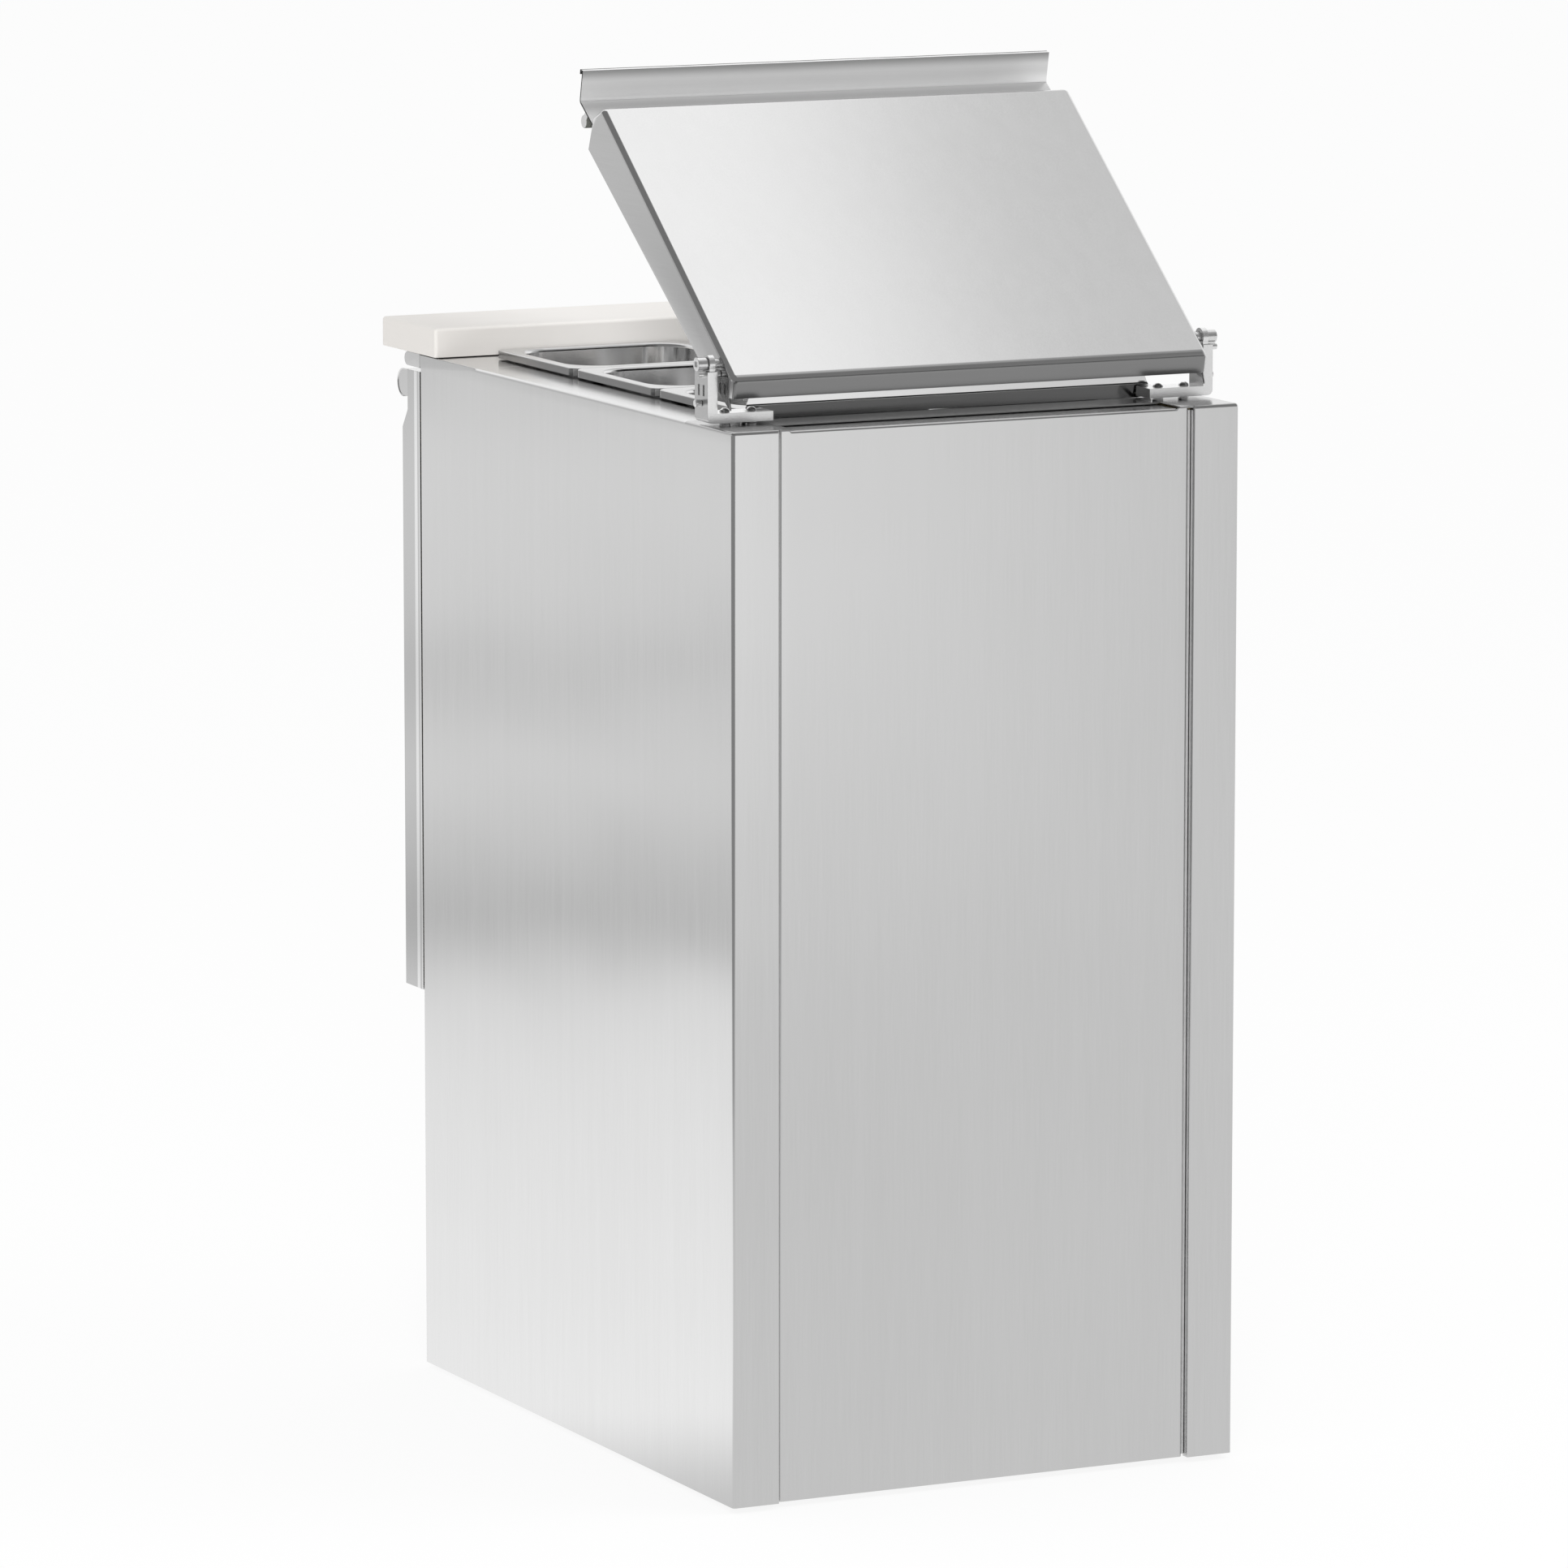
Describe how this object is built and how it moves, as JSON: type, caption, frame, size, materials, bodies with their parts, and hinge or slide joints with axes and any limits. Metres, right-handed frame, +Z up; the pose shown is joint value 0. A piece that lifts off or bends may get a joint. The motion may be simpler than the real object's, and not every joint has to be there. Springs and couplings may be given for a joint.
{
  "type": "refrigerated salad prep counter",
  "caption": "Chilled stainless counter with a raised hinged lid over lift-out food pans, a front cutting board and one hinged door below.",
  "frame": {"origin": "bottom centre of the object, on the floor", "axes": "+Z up, +Y towards the rear panel, -Y towards the cook, +X to the cook's right"},
  "size_m": [0.476, 0.701, 1.1594],
  "materials": {
    "brushed_steel": "satin",
    "polished_steel": "polished",
    "cast_bracket": "satin",
    "zinc_sheet": "matte",
    "black_plastic": "matte",
    "rubber_black": "matte",
    "rubber_grey": "matte",
    "white_board": "matte",
    "insulation_foam": "matte",
    "coil_aluminium": "satin",
    "coil_dark": "satin",
    "motor_grey": "satin",
    "compressor_black": "satin",
    "copper": "satin",
    "switch_green": "gloss"
  },
  "bodies": {
    "cabinet": {"side_panel_right": "brushed_steel", "side_panel_left": "brushed_steel", "rear_panel": "brushed_steel", "inner_liner": "brushed_steel", "chamber_sill": "brushed_steel", "rear_ledge": "brushed_steel", "front_rail": "brushed_steel", "pan_centre_bar": "brushed_steel", "pan_cross_bar_1": "brushed_steel", "pan_cross_bar_2": "brushed_steel", "shelf_rail_left": "brushed_steel", "shelf_rail_right": "brushed_steel", "machine_grille": "brushed_steel", "rear_pan_rail": "polished_steel", "hinge_bracket_left": "cast_bracket", "hinge_bracket_right": "cast_bracket", "pivot_bolt_left": "cast_bracket", "pivot_bolt_right": "cast_bracket", "stop_pin_left": "cast_bracket", "stop_pin_right": "cast_bracket", "door_hinge_lower": "cast_bracket", "door_hinge_upper": "cast_bracket", "base_plate": "zinc_sheet", "machine_ceiling": "zinc_sheet", "control_panel": "black_plastic", "drip_tray": "black_plastic", "foot_rear_left": "rubber_black", "foot_rear_right": "rubber_black", "foot_front_left": "rubber_black", "foot_front_right": "rubber_black", "foam_insulation": "insulation_foam", "evaporator_coil": "coil_aluminium", "condenser_coil": "coil_dark", "fan_motor": "motor_grey", "compressor": "compressor_black", "discharge_pipe": "copper", "suction_pipe": "copper"},
    "lid": {"lid_hood": "brushed_steel", "lid_liner": "black_plastic", "lid_handle": "brushed_steel", "lid_bumper_left": "rubber_grey", "lid_bumper_right": "rubber_grey"},
    "door": {"door_shell": "brushed_steel", "door_foam": "insulation_foam", "door_inner_panel": "brushed_steel", "door_gasket": "rubber_black", "door_grip": "polished_steel"},
    "pan_rear_left": {"pan_rear_left": "polished_steel"},
    "pan_rear_right": {"pan_rear_right": "polished_steel"},
    "pan_middle_left": {"pan_middle_left": "polished_steel"},
    "pan_middle_right": {"pan_middle_right": "polished_steel"},
    "pan_front_left": {"pan_front_left": "polished_steel"},
    "pan_front_right": {"pan_front_right": "polished_steel"},
    "cutting_board": {"cutting_board": "white_board"},
    "wire_shelf": {"wire_shelf": "polished_steel"},
    "condenser_fan": {"condenser_fan": "black_plastic"},
    "thermostat_knob": {"thermostat_knob": "black_plastic"},
    "power_switch": {"power_switch": "switch_green"}
  },
  "joints": [
    {"name": "lid_hinge", "type": "hinge", "parent": "cabinet", "child": "lid", "pos_m": [0, 0.2955, 0.941], "axis": [-1, 0, 0], "range_deg": [-41, 8]},
    {"name": "door_hinge", "type": "hinge", "parent": "cabinet", "child": "door", "pos_m": [-0.2205, -0.2915, 0.335], "axis": [0, 0, -1], "range_deg": [0, 100]},
    {"name": "pan_rear_left_lift", "type": "slide", "parent": "cabinet", "child": "pan_rear_left", "axis": [0, 0, 1], "range_m": [0, 0.04]},
    {"name": "pan_rear_right_lift", "type": "slide", "parent": "cabinet", "child": "pan_rear_right", "axis": [0, 0, 1], "range_m": [0, 0.04]},
    {"name": "pan_middle_left_lift", "type": "slide", "parent": "cabinet", "child": "pan_middle_left", "axis": [0, 0, 1], "range_m": [0, 0.12]},
    {"name": "pan_middle_right_lift", "type": "slide", "parent": "cabinet", "child": "pan_middle_right", "axis": [0, 0, 1], "range_m": [0, 0.12]},
    {"name": "pan_front_left_lift", "type": "slide", "parent": "cabinet", "child": "pan_front_left", "axis": [0, 0, 1], "range_m": [0, 0.17]},
    {"name": "pan_front_right_lift", "type": "slide", "parent": "cabinet", "child": "pan_front_right", "axis": [0, 0, 1], "range_m": [0, 0.17]},
    {"name": "cutting_board_lift", "type": "slide", "parent": "cabinet", "child": "cutting_board", "axis": [0, 0, 1], "range_m": [0, 0.06]},
    {"name": "wire_shelf_lift", "type": "slide", "parent": "cabinet", "child": "wire_shelf", "axis": [0, 0, 1], "range_m": [0, 0.03]},
    {"name": "condenser_fan_spin", "type": "hinge", "parent": "cabinet", "child": "condenser_fan", "pos_m": [0.07, -0.1367, 0.132], "axis": [0, 1, 0], "continuous": true},
    {"name": "thermostat_turn", "type": "hinge", "parent": "cabinet", "child": "thermostat_knob", "pos_m": [0.045, -0.2703, 0.281], "axis": [0, 1, 0], "range_deg": [-135, 135]},
    {"name": "power_switch_rock", "type": "hinge", "parent": "cabinet", "child": "power_switch", "pos_m": [-0.045, -0.2703, 0.281], "axis": [1, 0, 0], "range_deg": [-6, 6]}
  ]
}
